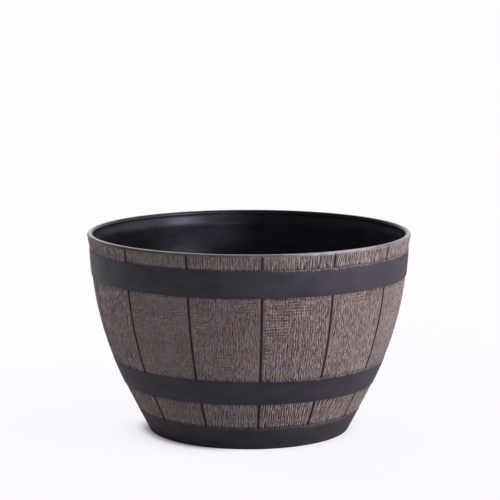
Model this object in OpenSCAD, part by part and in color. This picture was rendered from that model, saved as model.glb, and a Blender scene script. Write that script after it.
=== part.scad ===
// Plastic barrel planter: a one-piece resin tub moulded to look like a cooper's half barrel,
// with a rubber plug in each drain hole of its floor.
// Millimetres, +Z up, origin on the ground at the centre of the foot ring. The front is towards -Y.

/* [Overall] */
// Outside diameter at the lip
rim_d = 394; // [364:1:434]
// Height from the ground to the top of the lip
height = 243.5; // [225:0.5:260]

/* [Bowed wall] */
// Radius of the outward bow, seen from the side
bow_r = 412; // [380:1:520]
// How far below the top of the lip the wall stands upright
belly_drop = 3.5; // [2:0.5:12]
// Height below which the wall runs down straight to the foot
bow_low_z = 50; // [30:1:58]
// Thickness of the wall, measured level
wall_t = 5; // [4:0.1:7]

/* [Lip] */
// How far the wall flares out between the upper hoop and the lip
lip_flare = 2; // [0:0.1:4]
// Width of the rolled lip
lip_w = 6.5; // [5.5:0.1:9]
// Depth of the lip's inner face below its rounded top
lip_face_h = 1; // [0.5:0.5:8]

/* [Hoops] */
// Strip of staves that shows between the lip and the upper hoop
top_strip_h = 15.6; // [10:0.1:24]
// Height of the upper hoop
upper_hoop_h = 32.5; // [24:0.5:40]
// Height of the lower hoop's bottom edge above the ground
lower_hoop_z = 60.5; // [50:0.5:70]
// Height of the lower hoop
lower_hoop_h = 30.2; // [22:0.1:38]
// Height of the plain band round the foot
base_band_h = 28.3; // [18:0.1:36]
// How far a hoop's bottom edge stands out from the staves below it
hoop_step = 0.9; // [0.8:0.1:2.2]
// How far a hoop's top edge and the lip stand out from the staves beside them
edge_step = 0.35; // [0.2:0.05:0.6]
// Rounding of a hoop's bottom edge
hoop_round = 0.5; // [0.3:0.1:0.7]

/* [Staves] */
// Number of staves round the wall
stave_n = 14; // [8:1:20]
// Turn of the first groove from the front, towards +X
stave_turn = 4.4; // [0:0.1:25]
// Width of the groove between two staves
groove_w = 3; // [2:0.1:5]
// Depth of the groove between two staves
groove_d = 1.2; // [0.6:0.1:1.5]

/* [Foot and floor] */
// Width of the ring that the planter stands on
foot_w = 5; // [4:0.1:7]
// Rounding of the foot ring's outer edge
foot_round = 1.5; // [0.8:0.1:2]
// Height of the floor's underside above the ground
floor_z = 9; // [8:0.5:14]
// Thickness of the floor
floor_t = 4; // [3:0.1:6]
// Radius of the corner between floor and wall, inside
floor_fillet = 8; // [4:0.5:12]
// Number of radial ribs under the floor
rib_n = 8; // [4:4:16]
// Thickness of a rib
rib_t = 2.4; // [1.6:0.1:4]
// Height of the ribs' lower edges above the ground
rib_z = 5; // [4.5:0.1:6]
// Radius of the round boss at the middle of the underside
hub_r = 15; // [10:0.5:22]
// Radius of the dimple in that boss
gate_r = 5; // [3:0.5:8]
// Depth of the dimple
gate_depth = 1.5; // [0.5:0.1:3]

/* [Drains] */
// Diameter of the circle that the drain holes lie on
drain_pcd = 150; // [130:1:165]
// Diameter of a drain hole
drain_d = 16; // [12:0.5:20]
// Depth of the shallow channel that leads water to the holes
channel_d = 1.5; // [0.5:0.1:2]
// Bare floor of the channel on each side of a plug's flange
channel_gap = 1.5; // [1:0.1:3]
// Width of the collar round each hole, under the floor
collar_w = 4; // [2:0.5:6]
// Radial clearance between a plug's stem and its hole
plug_gap = 0.05; // [0.02:0.01:0.1]
// How far a plug's flange reaches past its hole
flange_w = 4.5; // [3:0.5:6]
// Thickness of the flange
flange_t = 2.4; // [1.5:0.1:4]
// Rounding of the flange's top edge
flange_round = 0.9; // [0.3:0.1:1.2]
// Length of the bevel at the stem's tip
tip_bevel = 1.6; // [0.8:0.1:2.5]
// Length of the tab that a plug is pulled by
tab_l = 14; // [10:0.5:16]
// Thickness of the tab
tab_t = 3.2; // [2:0.1:4]
// Height of the tab above the flange
tab_h = 8; // [8:0.5:12]

/* [Hidden] */
NODES = ["planter_shell", "drain_plug_1", "drain_plug_2", "drain_plug_3", "drain_plug_4"];
$fn = 96;

// One drain hole for each plug in NODES
drain_n = len(NODES) - 1;

RESIN = [0.20, 0.19, 0.22];
WOOD_TONE = [0.43, 0.37, 0.33];
RUBBER = [0.09, 0.09, 0.10];

// Longest level step between two points of a bowed outline
PITCH = 7;
// How far pieces of one moulding run into each other
KEY = 1;
// Points on each rounded corner
CORNER_N = 6;

rim_r = rim_d / 2;
lip_r = lip_w / 2;
belly_z = height - belly_drop;
lip_z = height - lip_r;
upper_hoop_top = lip_z - top_strip_h;
upper_hoop_z = upper_hoop_top - upper_hoop_h;
lower_hoop_top = lower_hoop_z + lower_hoop_h;
floor_top = floor_z + floor_t;
drain_r = drain_d / 2;
flange_r = drain_r + flange_w;
channel_mid = drain_pcd / 2;
channel_half = flange_r + channel_gap;
channel_slope = 2 * channel_d;
seat_z = floor_top - channel_d;
// Undersides of the hole collars and of the centre boss, beside the ribs' lower edges
collar_z = rib_z + 0.5;
hub_z = rib_z - 0.5;

// The three strips of staves: lower edge, upper edge, step at the lower edge, step at the upper edge
STRIPS = [
    [base_band_h, lower_hoop_z, edge_step, hoop_step],
    [lower_hoop_top, upper_hoop_z, edge_step, hoop_step],
    [upper_hoop_top, lip_z, edge_step, edge_step]
];

// Slope of the straight lower wall, which carries on from the bow
cone_k = (belly_z - bow_low_z) / sqrt(pow(bow_r, 2) - pow(belly_z - bow_low_z, 2));
cone_a = atan(cone_k);

// Radius of the bow at a height, the flare under the lip, and the whole wall with its straight foot
function bow_at(z) = rim_r - lip_flare - bow_r + sqrt(pow(bow_r, 2) - pow(belly_z - z, 2));
function flare_at(z) =
    let (u = (z - upper_hoop_top) / top_strip_h) lip_flare / 2 * (1 - cos(180 * min(max(u, 0), 1)));
function wall_at(z) =
    z >= bow_low_z ? bow_at(z) + flare_at(z) : bow_at(bow_low_z) - cone_k * (bow_low_z - z);
function inner_at(z) = wall_at(z) - wall_t;

// Radius of the stave surface in a strip: near flush at its foot, stepped in under the hoop above
function stave_at(z, s) =
    let (u = (z - s[0]) / (s[1] - s[0]), v = min(max(u, 0), 1))
    wall_at(z) - s[2] - (s[3] - s[2]) * v * v;

function levels(a, b) = let (n = ceil((b - a) / PITCH)) [for (i = [0:n]) a + (b - a) * i / n];
function arc(c, r, a, b) =
    [for (i = [0:CORNER_N]) let (t = a + (b - a) * i / CORNER_N) c + r * [cos(t), sin(t)]];

// Centre of a corner of radius r between the level z and a wall that is at radius w there
function corner_at(w, z, r) = [w + cone_k * r - r / cos(cone_a), z + r];

// Outline of a plain band or hoop, from its rounded bottom edge to its top
function hoop_points(a, b) = concat(
    [[wall_at(a) - hoop_round, a]],
    [for (z = levels(a + hoop_round, b)) [wall_at(z), z]]
);
function groove_floor_points(s) = [for (z = levels(s[0], s[1])) [stave_at(z, s) - groove_d, z]];

foot_r = wall_at(0);

// One face of the floor, from the centre to the far side of its channel
function channel_points(z) = [
    [0, z],
    [channel_mid - channel_half - channel_slope, z],
    [channel_mid - channel_half, z - channel_d],
    [channel_mid + channel_half, z - channel_d],
    [channel_mid + channel_half + channel_slope, z]
];
function reversed(list) = [for (i = [len(list) - 1:-1:0]) list[i]];

shell_outline = concat(
    channel_points(floor_z),
    [[foot_r - foot_w, floor_z], [foot_r - foot_w, 0]],
    arc(corner_at(foot_r, 0, foot_round), foot_round, -90, -cone_a),
    [for (z = levels(2 * foot_round, base_band_h)) [wall_at(z), z]],
    groove_floor_points(STRIPS[0]),
    hoop_points(lower_hoop_z, lower_hoop_top),
    groove_floor_points(STRIPS[1]),
    hoop_points(upper_hoop_z, upper_hoop_top),
    groove_floor_points(STRIPS[2]),
    arc([rim_r - lip_r, lip_z], lip_r, 0, 180),
    [[rim_r - lip_w, lip_z - lip_face_h]],
    [for (z = reversed(levels(floor_top + floor_fillet, lip_z - lip_face_h - KEY))) [inner_at(z), z]],
    reversed(arc(corner_at(inner_at(floor_top), floor_top, floor_fillet), floor_fillet, -90, -cone_a)),
    reversed(channel_points(floor_top))
);

// Wall, hoops, lip, floor and foot ring as one turned body, with bare groove floors for the staves
module turned_body() {
    rotate_extrude() polygon(shell_outline);
}

// One strip of staves, cut apart by the grooves and keyed into the wall behind it
module stave_strip(s) {
    face = [for (z = levels(s[0] - KEY, s[1] + KEY / 2)) [stave_at(z, s), z]];
    back = [for (p = reversed(face)) p - [groove_d + KEY, 0]];
    difference() {
        rotate_extrude() polygon(concat(face, back));
        for (i = [0:stave_n - 1])
            rotate(stave_turn - 90 + i * 360 / stave_n)
                translate([0, -groove_w / 2, s[0] - 2 * KEY])
                    cube([rim_r + KEY, groove_w, s[1] - s[0] + 4 * KEY]);
    }
}

// Ribs, centre boss and hole collars that stiffen the floor from below
module floor_ribs() {
    for (i = [0:rib_n - 1])
        rotate((i + 0.5) * 360 / rib_n)
            translate([0, -rib_t / 2, rib_z])
                cube([foot_r - foot_w + KEY, rib_t, floor_z - rib_z + KEY / 2]);
    translate([0, 0, hub_z]) cylinder(r = hub_r, h = floor_z - hub_z + KEY);
    for (i = [0:drain_n - 1])
        at_drain(i)
            translate([0, 0, collar_z]) cylinder(r = drain_r + collar_w, h = seat_z - collar_z - KEY);
}

module at_drain(i) {
    rotate(45 + i * 360 / drain_n) translate([drain_pcd / 2, 0, 0]) children();
}

module planter_shell() {
    difference() {
        union() {
            color(RESIN) turned_body();
            color(RESIN) floor_ribs();
            for (s = STRIPS) color(WOOD_TONE) stave_strip(s);
        }
        for (i = [0:drain_n - 1]) color(RESIN) at_drain(i) cylinder(r = drain_r, h = floor_top + KEY);
        color(RESIN) cylinder(r = gate_r, h = hub_z + gate_depth);
    }
}

// A stopper that drops into its hole from inside, with a rounded flange and a tab to pull
module drain_plug(i) {
    stem_r = drain_r - plug_gap;
    stem = [
        [0, rib_z], [stem_r - tip_bevel / 2, rib_z], [stem_r, rib_z + tip_bevel], [stem_r, seat_z]
    ];
    top = seat_z + flange_t;
    flange = concat(
        [[flange_r, seat_z]],
        arc([flange_r - flange_round, top - flange_round], flange_round, 0, 90),
        [[0, top]]
    );
    color(RUBBER) at_drain(i) {
        rotate_extrude() polygon(concat(stem, flange));
        translate([0, tab_t / 2, top]) rotate([90, 0, 0]) linear_extrude(tab_t) tab_outline();
    }
}

// A tab with a half-round top, seen from its side, rooted in the flange
module tab_outline() {
    half = tab_l / 2;
    c = [0, tab_h - half];
    polygon(concat([[-half, -KEY], [half, -KEY]], arc(c, half, 0, 90), arc(c, half, 90, 180)));
}

planter_shell();
drain_plug(0);  // drain_plug_1
drain_plug(1);  // drain_plug_2
drain_plug(2);  // drain_plug_3
drain_plug(3);  // drain_plug_4
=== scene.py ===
"""Looks of a moulded barrel planter: staves brushed in a wood tone, charcoal hoops and rubber drain plugs.

Every size is in metres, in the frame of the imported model: +Z up, the origin on the ground at the centre of
the foot ring, the front towards -Y. A point of a turned piece's outline is written as (radius, height).
"""

import enum
import logging
import math
from collections.abc import Callable
from dataclasses import dataclass

import bpy
import numpy as np
from mathutils import Matrix, Vector


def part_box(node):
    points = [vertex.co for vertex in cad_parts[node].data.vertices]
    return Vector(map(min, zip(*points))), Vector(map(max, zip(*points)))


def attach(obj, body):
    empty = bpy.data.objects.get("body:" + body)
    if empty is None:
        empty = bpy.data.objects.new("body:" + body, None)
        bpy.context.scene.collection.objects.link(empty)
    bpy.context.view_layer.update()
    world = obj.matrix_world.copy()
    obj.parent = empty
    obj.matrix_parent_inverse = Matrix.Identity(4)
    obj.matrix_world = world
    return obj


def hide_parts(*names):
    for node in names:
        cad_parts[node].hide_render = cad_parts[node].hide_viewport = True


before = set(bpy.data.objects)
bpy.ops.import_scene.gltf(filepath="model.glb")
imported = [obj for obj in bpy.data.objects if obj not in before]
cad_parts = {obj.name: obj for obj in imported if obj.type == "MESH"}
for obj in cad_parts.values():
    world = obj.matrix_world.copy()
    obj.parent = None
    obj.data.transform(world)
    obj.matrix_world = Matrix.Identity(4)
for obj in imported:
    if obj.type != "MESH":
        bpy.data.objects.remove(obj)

LOG = logging.getLogger("planter")
MM = 0.001
BODY = "planter"
SHELL_NODE = "planter_shell"
PLUG_NODES = ("drain_plug_1", "drain_plug_2", "drain_plug_3", "drain_plug_4")
PLUG_BODIES = ("plug_1", "plug_2", "plug_3", "plug_4")

# Two points of an outline this close are one point, and a point this close to the axis lies on it
TOUCH = 1e-7
# Large odd numbers, and a mask, that turn a corner's two numbers and a seed into a hash
HASH_X, HASH_Y, HASH_SEED, HASH_MIX = 374761393, 668265263, 974634777, 1274126177
LOW_BITS = 0xFFFFFFFF

Pair = tuple[float, float]
Triple = tuple[float, float, float]
Colour = Triple
Stops = list[tuple[float, Colour]]
Inputs = dict[int | str, object] | None
Finish = bpy.types.Material
Socket = bpy.types.NodeSocket
Piece = bpy.types.Object


def srgb(red: int, green: int, blue: int) -> Colour:
    """Turn a colour as a picture shows it into the linear one that a shader takes.

    Args:
        red, green, blue: the colour's parts, 0 to 255.

    Returns:
        The linear colour, by the sRGB curve: a straight toe below 0.04, a power of 2.4 above.
    """
    parts = np.array([red, green, blue]) / 255
    linear = np.where(parts <= 0.04045, parts / 12.92, ((parts + 0.055) / 1.055) ** 2.4)
    return tuple(float(part) for part in linear)


# Noise on arrays


def lattice_noise(x: np.ndarray, y: np.ndarray, seed: int) -> np.ndarray:
    """Smooth noise in cells one unit wide.

    Each whole-numbered corner has a hashed value. A point takes the four corners round it, blended by the
    smooth step 3t^2 - 2t^3 of its place in the cell.

    Args:
        x, y: places in cells, arrays that fit each other.
        seed: picks the corner values.

    Returns:
        The noise at each place, from -1 to 1.
    """
    x, y = np.broadcast_arrays(x, y)
    cell_x, cell_y = np.floor(x).astype(np.int64), np.floor(y).astype(np.int64)
    part_x, part_y = (part * part * (3 - 2 * part) for part in (x - cell_x, y - cell_y))

    def corner(step_x: int, step_y: int) -> np.ndarray:
        """Hashed value of one corner.

        Args:
            step_x, step_y: which of the four corners, 0 or 1 each way.

        Returns:
            The value, from -1 to 1.
        """
        mixed = ((cell_x + step_x) * HASH_X + (cell_y + step_y) * HASH_Y + seed * HASH_SEED) & LOW_BITS
        mixed = ((mixed ^ (mixed >> 13)) * HASH_MIX) & LOW_BITS
        return ((mixed ^ (mixed >> 16)) & 0xFFFF) / 32767.5 - 1

    low = corner(0, 0) * (1 - part_x) + corner(1, 0) * part_x
    high = corner(0, 1) * (1 - part_x) + corner(1, 1) * part_x
    return low * (1 - part_y) + high * part_y


def smooth_step(low: float, high: float, value: np.ndarray) -> np.ndarray:
    """Rise from 0 at low to 1 at high along 3t^2 - 2t^3."""
    t = np.clip((value - low) / (high - low), 0, 1)
    return t * t * (3 - 2 * t)


# Outlines and meshes


def arc(centre: Pair, radius: float, start: float, end: float, count: int = 7) -> np.ndarray:
    """Points on an arc: the centre plus the radius times (cos, sin) of evenly spaced angles.

    Args:
        centre, radius: the circle.
        start, end: angles in degrees, 0 outwards and 90 upwards.
        count: number of points.

    Returns:
        One row of (radius, height) a point.
    """
    angle = np.radians(np.linspace(start, end, count))
    return np.array(centre) + radius * np.column_stack([np.cos(angle), np.sin(angle)])


def run(start: Pair, end: Pair, step: float) -> np.ndarray:
    """Points on a straight line, both ends among them.

    Args:
        start, end: the line's ends.
        step: the widest gap between two points.

    Returns:
        One row of (radius, height) a point.
    """
    start, end = np.array(start), np.array(end)
    count = math.ceil(float(np.linalg.norm(end - start)) / step) + 1
    return start + (end - start) * np.linspace(0, 1, max(count, 2))[:, None]


def grid_faces(rows: int, columns: int, wrap_rows: bool = False) -> np.ndarray:
    """Four-sided faces between the points of a grid numbered row by row, whose columns close to a ring.

    Args:
        rows, columns: the grid's size in points.
        wrap_rows: whether the last row joins the first.

    Returns:
        One row of four vertex indices a face.
    """
    row = np.arange(rows if wrap_rows else rows - 1)[:, None]
    column = np.arange(columns)[None, :]
    next_row, next_column = (row + 1) % rows, (column + 1) % columns
    corners = [row * columns + column, row * columns + next_column]
    corners += [next_row * columns + next_column, next_row * columns + column]
    return np.stack([np.broadcast_to(c, (row.size, column.size)).ravel() for c in corners], axis=1)


def ring_stack(rings: np.ndarray) -> tuple[np.ndarray, list[np.ndarray]]:
    """Close a stack of rings into a solid with one many-sided face at each end.

    Args:
        rings: points as (ring, point of the ring, coordinate); seen from the last ring, each turns left.

    Returns:
        The points as rows, and the faces as make_piece takes them.
    """
    rows, columns = rings.shape[:2]
    ring = np.arange(columns)[None]
    return rings.reshape(-1, 3), [grid_faces(rows, columns), ring[:, ::-1], (rows - 1) * columns + ring]


def add_object(name: str, data: bpy.types.ID) -> Piece:
    """Put an object that shows the given data into the scene, at the origin.

    Args:
        name: the object's name.
        data: a mesh, lamp or camera.

    Returns:
        The object.
    """
    made = bpy.data.objects.new(name, data)
    bpy.context.scene.collection.objects.link(made)
    return made


def make_piece(name: str, points: np.ndarray, faces: list[np.ndarray], sharp: float = 40.0) -> Piece:
    """Make a mesh object at the origin from arrays.

    Args:
        name: the piece's name.
        points: one row of three coordinates for each vertex.
        faces: arrays of vertex indices, one row a face; each array holds faces of one number of sides.
        sharp: edges that bend more than this many degrees are drawn sharp.

    Returns:
        The object, smooth-shaded.
    """
    mesh = bpy.data.meshes.new(name)
    mesh.vertices.add(len(points))
    mesh.vertices.foreach_set("co", np.ascontiguousarray(points, np.float32).ravel())
    corners = np.concatenate([group.ravel() for group in faces])
    sides = np.concatenate([np.full(len(group), group.shape[1]) for group in faces])
    mesh.loops.add(len(corners))
    mesh.loops.foreach_set("vertex_index", corners.astype(np.int32))
    mesh.polygons.add(len(sides))
    mesh.polygons.foreach_set("loop_start", (np.cumsum(sides) - sides).astype(np.int32))
    mesh.update(calc_edges=True)
    mesh.validate()
    mesh.shade_smooth()
    mesh.set_sharp_from_angle(angle=math.radians(sharp))
    return add_object(name, mesh)


def read(items: object, key: str, width: int = 1, kind: type = np.int32) -> np.ndarray:
    """Read one value of every vertex, face corner or face of a mesh.

    Args:
        items: the mesh's vertices, loops or polygons.
        key: the value's name there.
        width: how many numbers it has.
        kind: the type of its numbers.

    Returns:
        One number or one row of numbers an item.
    """
    values = np.empty(len(items) * width, kind)
    items.foreach_get(key, values)
    return values if width == 1 else values.reshape(-1, width)


def vertices(piece: Piece) -> np.ndarray:
    """Coordinates of a piece's vertices, one row each."""
    return read(piece.data.vertices, "co", 3, np.float32).astype(float)


def move_vertices(piece: Piece, points: np.ndarray) -> None:
    """Put a piece's vertices at new coordinates, one row each."""
    piece.data.vertices.foreach_set("co", points.astype(np.float32).ravel())
    piece.data.update()


def set_attribute(piece: Piece, name: str, values: np.ndarray) -> None:
    """Store a row of three numbers on each vertex, for the finishes to read."""
    stored = piece.data.attributes.new(name, "FLOAT_VECTOR", "POINT")
    stored.data.foreach_set("vector", np.ascontiguousarray(values, np.float32).ravel())


def dress(piece: Piece, *finishes: Finish) -> Piece:
    """Give a piece its finishes.

    Args:
        piece: the piece.
        finishes: its materials, in the order of its slots.

    Returns:
        The same piece.
    """
    for finish in finishes:
        piece.data.materials.append(finish)
    return piece


def turned(name: str, outline: np.ndarray, segments: int, sharp: float = 40.0) -> Piece:
    """Turn an outline round the upright axis into a closed solid.

    A point (r, z) at the angle a goes to (r cos a, r sin a, z). The solid lies on the left of the outline,
    which runs up the outside and down the inside. Ends on the axis become poles; any other outline is a loop.

    Args:
        name: the piece's name.
        outline: rows of (radius, height); a row that repeats the one before it is dropped.
        segments: how many steps make the full turn.
        sharp: see make_piece.

    Returns:
        The turned piece.
    """
    apart = np.linalg.norm(np.diff(outline, axis=0), axis=1) > TOUCH
    outline = outline[np.concatenate([[True], apart])]
    poles = outline[0, 0] < TOUCH and outline[-1, 0] < TOUCH
    rings = outline[1:-1] if poles else outline
    angle = np.linspace(0, 2 * math.pi, segments, endpoint=False)
    radius, height = rings[:, :1], rings[:, 1:]
    height = np.broadcast_to(height, (len(rings), segments))
    points = np.stack([radius * np.cos(angle), radius * np.sin(angle), height], axis=-1).reshape(-1, 3)
    faces = [grid_faces(len(rings), segments, not poles)]
    if poles:
        step, first = np.arange(segments), np.full(segments, len(points))
        after, top = (step + 1) % segments, (len(rings) - 1) * segments
        points = np.vstack([points, [0, 0, outline[0, 1]], [0, 0, outline[-1, 1]]])
        faces.append(np.stack([after, step, first], axis=1))
        faces.append(np.stack([top + step, top + after, first + 1], axis=1))
    return make_piece(name, points, faces, sharp)


def joined(name: str, parts: list[Piece], sharp: float = 40.0) -> Piece:
    """Make one piece of several closed ones, which are taken away.

    Args:
        name: the new piece's name.
        parts: pieces at the origin.
        sharp: see make_piece.

    Returns:
        The new piece.
    """
    points, corners, sides, count = [], [], [], 0
    for part in parts:
        points.append(vertices(part))
        corners.append(read(part.data.loops, "vertex_index") + count)
        sides.append(read(part.data.polygons, "loop_total"))
        count += len(points[-1])
        bpy.data.objects.remove(part)
    corners, sides = np.concatenate(corners), np.concatenate(sides)
    starts = np.cumsum(sides) - sides
    faces = [corners[starts[sides == n][:, None] + np.arange(n)] for n in np.unique(sides)]
    return make_piece(name, np.vstack(points), faces, sharp)


def middle_of(node: str) -> Pair:
    """Place of a node's middle, seen from above."""
    low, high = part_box(node)
    return (low.x + high.x) / 2, (low.y + high.y) / 2


# Shader maths


def math_operator(operation: str, swap: bool = False) -> Callable[["Number", object], "Number"]:
    """Make one operator of Number.

    Args:
        operation: the Math node's operation.
        swap: whether the number stands on the right, as in 1 - number.

    Returns:
        The operator's method.
    """

    def apply(number: "Number", other: object) -> "Number":
        """Add the Math node for a number and another value or link."""
        first, second = (other, number) if swap else (number, other)
        return number.graph.number("Math", {0: first, 1: second}, operation=operation)

    return apply


class Number:
    """A socket that carries one number; each operator adds the Math node for it."""

    def __init__(self, graph: "Graph", socket: Socket) -> None:
        """Wrap a socket of a graph."""
        self.graph = graph
        self.socket = socket

    __add__, __radd__ = math_operator("ADD"), math_operator("ADD", swap=True)
    __sub__, __rsub__ = math_operator("SUBTRACT"), math_operator("SUBTRACT", swap=True)
    __mul__, __rmul__ = math_operator("MULTIPLY"), math_operator("MULTIPLY", swap=True)

    def rise(self, low: float, high: float) -> "Number":
        """Go smoothly from 0 at low to 1 at high."""
        inputs = {"Value": self, "From Min": low, "From Max": high}
        return self.graph.number("MapRange", inputs, "Result", interpolation_type="SMOOTHSTEP")


class Graph:
    """The node tree of one material, or of the surroundings."""

    def __init__(self, owner: Finish | bpy.types.World) -> None:
        """Start an empty tree.

        Args:
            owner: the material or the surroundings that it belongs to.
        """
        self.owner = owner
        owner.use_nodes = True
        self.tree = owner.node_tree
        self.tree.nodes.clear()

    def node(self, kind: str, inputs: Inputs = None, **settings: object) -> bpy.types.Node:
        """Add a node.

        Args:
            kind: the node's type name, without the word ShaderNode that each begins with.
            inputs: a value or a link for sockets, by name or number.
            settings: its own settings, set before its sockets; a ramp's are its stops.

        Returns:
            The node.
        """
        made = self.tree.nodes.new("ShaderNode" + kind)
        for key, value in settings.items():
            if key == "stops":
                self._set_stops(made.color_ramp, value)
            else:
                setattr(made, key, value)
        for key, value in (inputs or {}).items():
            source = value.socket if isinstance(value, Number) else value
            if isinstance(source, Socket):
                self.tree.links.new(source, made.inputs[key])
            else:
                made.inputs[key].default_value = source
        return made

    @staticmethod
    def _set_stops(ramp: bpy.types.ColorRamp, stops: Stops) -> None:
        """Give a colour ramp its stops.

        Args:
            ramp: the ramp.
            stops: place from 0 to 1 and colour of each.
        """
        while len(ramp.elements) < len(stops):
            ramp.elements.new(1.0)
        for element, (place, colour) in zip(ramp.elements, stops):
            element.position = place
            element.color = (*colour, 1.0)

    def link(self, kind: str, inputs: Inputs = None, output: int | str = 0, **settings: object) -> Socket:
        """Add a node as node does, and take one of its outputs as a link."""
        return self.node(kind, inputs, **settings).outputs[output]

    def number(self, kind: str, inputs: Inputs = None, output: int | str = 0, **settings: object) -> Number:
        """Add a node as node does, and take one of its outputs as a number."""
        return Number(self, self.link(kind, inputs, output, **settings))

    def attribute(self, name: str) -> tuple[Socket, tuple[Number, Number, Number]]:
        """Vector stored on the piece's vertices, whole and as its three numbers."""
        vector = self.link("Attribute", output="Vector", attribute_name=name)
        return vector, self.parts(vector)

    def parts(self, vector: Socket) -> tuple[Number, Number, Number]:
        """The three numbers of a vector."""
        return tuple(Number(self, output) for output in self.node("SeparateXYZ", {0: vector}).outputs)

    def place(self) -> Socket:
        """Place on the piece, in metres."""
        return self.link("TexCoord", output="Object")

    def noise(self, vector: Socket, cell: Triple, detail: float = 2.0, rough: float = 0.5,
              bend: float = 0.0) -> Number:
        """Noise from 0 to 1.

        Args:
            vector: place in metres.
            cell: size of one cell along each axis, in millimetres.
            detail, rough, bend: the noise node's Detail, Roughness and Distortion.

        Returns:
            The noise.
        """
        scale = tuple(1 / (size * MM) for size in cell)
        scaled = self.link("VectorMath", {0: vector, 1: scale}, operation="MULTIPLY")
        inputs = {"Vector": scaled, "Scale": 1.0, "Detail": detail, "Roughness": rough, "Distortion": bend}
        return self.number("TexNoise", inputs, "Fac")

    def ramp(self, value: Number, stops: Stops) -> Socket:
        """Colour at a value from 0 to 1."""
        return self.link("ValToRGB", {"Fac": value}, "Color", stops=stops)

    def mix(self, share: Number, first: object, second: object, blend: str = "MIX") -> Socket:
        """Blend two colours.

        Args:
            share: how much of the second, from 0 to 1.
            first, second: a colour or a link to one.
            blend: the Mix node's blend type.

        Returns:
            The mixed colour.
        """
        inputs = {0: share}
        for key, colour in ((6, first), (7, second)):
            inputs[key] = (*colour, 1.0) if isinstance(colour, tuple) else colour
        return self.link("Mix", inputs, 2, data_type="RGBA", blend_type=blend, clamp_factor=True)

    def bump(self, height: Number, depth: float) -> Socket:
        """Normal of a surface whose height runs from 0 to 1 over a depth in millimetres."""
        return self.link("Bump", {"Height": height, "Distance": depth * MM}, "Normal")

    def surface(self, colour: Socket, rough: Number, normal: Socket, shine: float,
                tint: Colour = (1, 1, 1)) -> Finish:
        """Close the tree with one Principled surface.

        Args:
            colour, rough, normal: links.
            shine, tint: the fixed specular level and its tint.

        Returns:
            The material.
        """
        inputs = {"Base Color": colour, "Roughness": rough, "Normal": normal}
        inputs |= {"Specular IOR Level": shine, "Specular Tint": (*tint, 1)}
        return self.closed(self.link("BsdfPrincipled", inputs))

    def closed(self, shader: Socket) -> Finish | bpy.types.World:
        """Lead a shader to the tree's output.

        Args:
            shader: the link.

        Returns:
            The tree's owner.
        """
        world = isinstance(self.owner, bpy.types.World)
        self.node("OutputWorld" if world else "OutputMaterial", {"Surface": shader})
        return self.owner


# Finishes


@dataclass(frozen=True)
class WoodTone:
    """Grey-brown paint brushed over moulded grain: dark in the valleys, worn pale on the ridges."""

    pit: Colour = srgb(34, 26, 27)
    dark: Colour = srgb(82, 68, 69)
    middle: Colour = srgb(122, 107, 107)
    pale: Colour = srgb(159, 144, 143)
    tip: Colour = srgb(196, 186, 184)
    tan: Colour = srgb(133, 112, 106)
    plum: Colour = srgb(113, 102, 107)
    olive: Colour = srgb(121, 110, 101)
    shadow: Colour = srgb(50, 46, 53)
    shine: float = 0.28

    def colour(self, graph: Graph, place: Socket, tone: Number) -> Socket:
        """Colour of the paint.

        Args:
            graph: the material's tree.
            place: place on the wood in metres, the grain along its second axis.
            tone: lightness, 0 in a pit and 1 on a worn tip.

        Returns:
            The colour: a ramp over the tone, tinted in slow patches.
        """
        stops = [(0.06, self.pit), (0.32, self.dark), (0.54, self.middle), (0.78, self.pale), (1.0, self.tip)]
        colour = graph.ramp(tone, stops)
        # Tint, then its noise's cell, detail and roughness, and where in the noise the patches start and end
        tints = (
            (self.tan, (11, 21, 1000), 3, 0.6, 0.46, 0.68),
            (self.plum, (17, 30, 700), 2, 0.5, 0.44, 0.66),
            (self.olive, (9, 30, 800), 2, 0.5, 0.50, 0.68),
        )
        for tint, cell, detail, rough, low, high in tints:
            patch = graph.noise(place, cell, detail, rough).rise(low, high)
            colour = graph.mix(patch * 0.7, colour, tint, "COLOR")
        return colour

    def material(self) -> Finish:
        """Build the staves' material.

        It reads three attributes. Grain is the place on the stave in metres: across, along, and a number for
        the stave. Wear is the relief from -1 to 1, then how plain the grain is and how near the hoop below,
        0 to 1. Trim is the share of saw marks, the depth in a groove and the nearness of the hoop above,
        which darkens the tone just under that hoop as painted shade.

        Returns:
            The material.
        """
        graph = Graph(bpy.data.materials.new("wood_tone"))
        place, _ = graph.attribute("grain")
        _, (relief, edge, foot) = graph.attribute("wear")
        _, (sawn, groove, shade_under_hoop) = graph.attribute("trim")
        calm = 1 - edge * 0.7
        streak = graph.noise(place, (1.2, 5.5, 1000), detail=1)
        fleck = graph.noise(place, (1.0, 2.6, 1000), detail=1)
        saw = graph.noise(place, (10, 1.7, 1000), detail=1)
        drift = graph.noise(place, (24, 52, 900), detail=2)
        level = graph.noise(place, (50, 8, 950), detail=1)
        marks = (streak - 0.5) * (0.75 - sawn * 0.2) + (saw - 0.5) * sawn * 0.6 + (fleck - 0.5) * 0.6
        tone = 0.52 + (marks + relief * 0.40) * calm
        tone = tone + (drift - 0.5) * 0.14 + (level - 0.5) * 0.16 + edge * 0.03
        # Painted shade: the tone darkened just under each hoop above, where it stands out over the staves.
        tone = tone + foot * ((streak - 0.55) * 1.2 + relief * 0.15) - shade_under_hoop * 0.08 - groove * 0.5
        rough = 0.66 - (tone - 0.5) * 0.14
        height = (streak * 0.4 + fleck * 0.25 + saw * sawn * 0.4) * calm
        # Near a band below, the paint fades to a dark grey: in part the resin showing through thin paint, in
        # part painted shade in the joint.
        faded = (foot + (streak - 0.5) * 0.7).rise(0.3, 1.0) * 0.7
        colour = graph.mix(faded, self.colour(graph, place, tone), self.shadow)
        return graph.surface(colour, rough, graph.bump(height, 0.7), self.shine)


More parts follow.
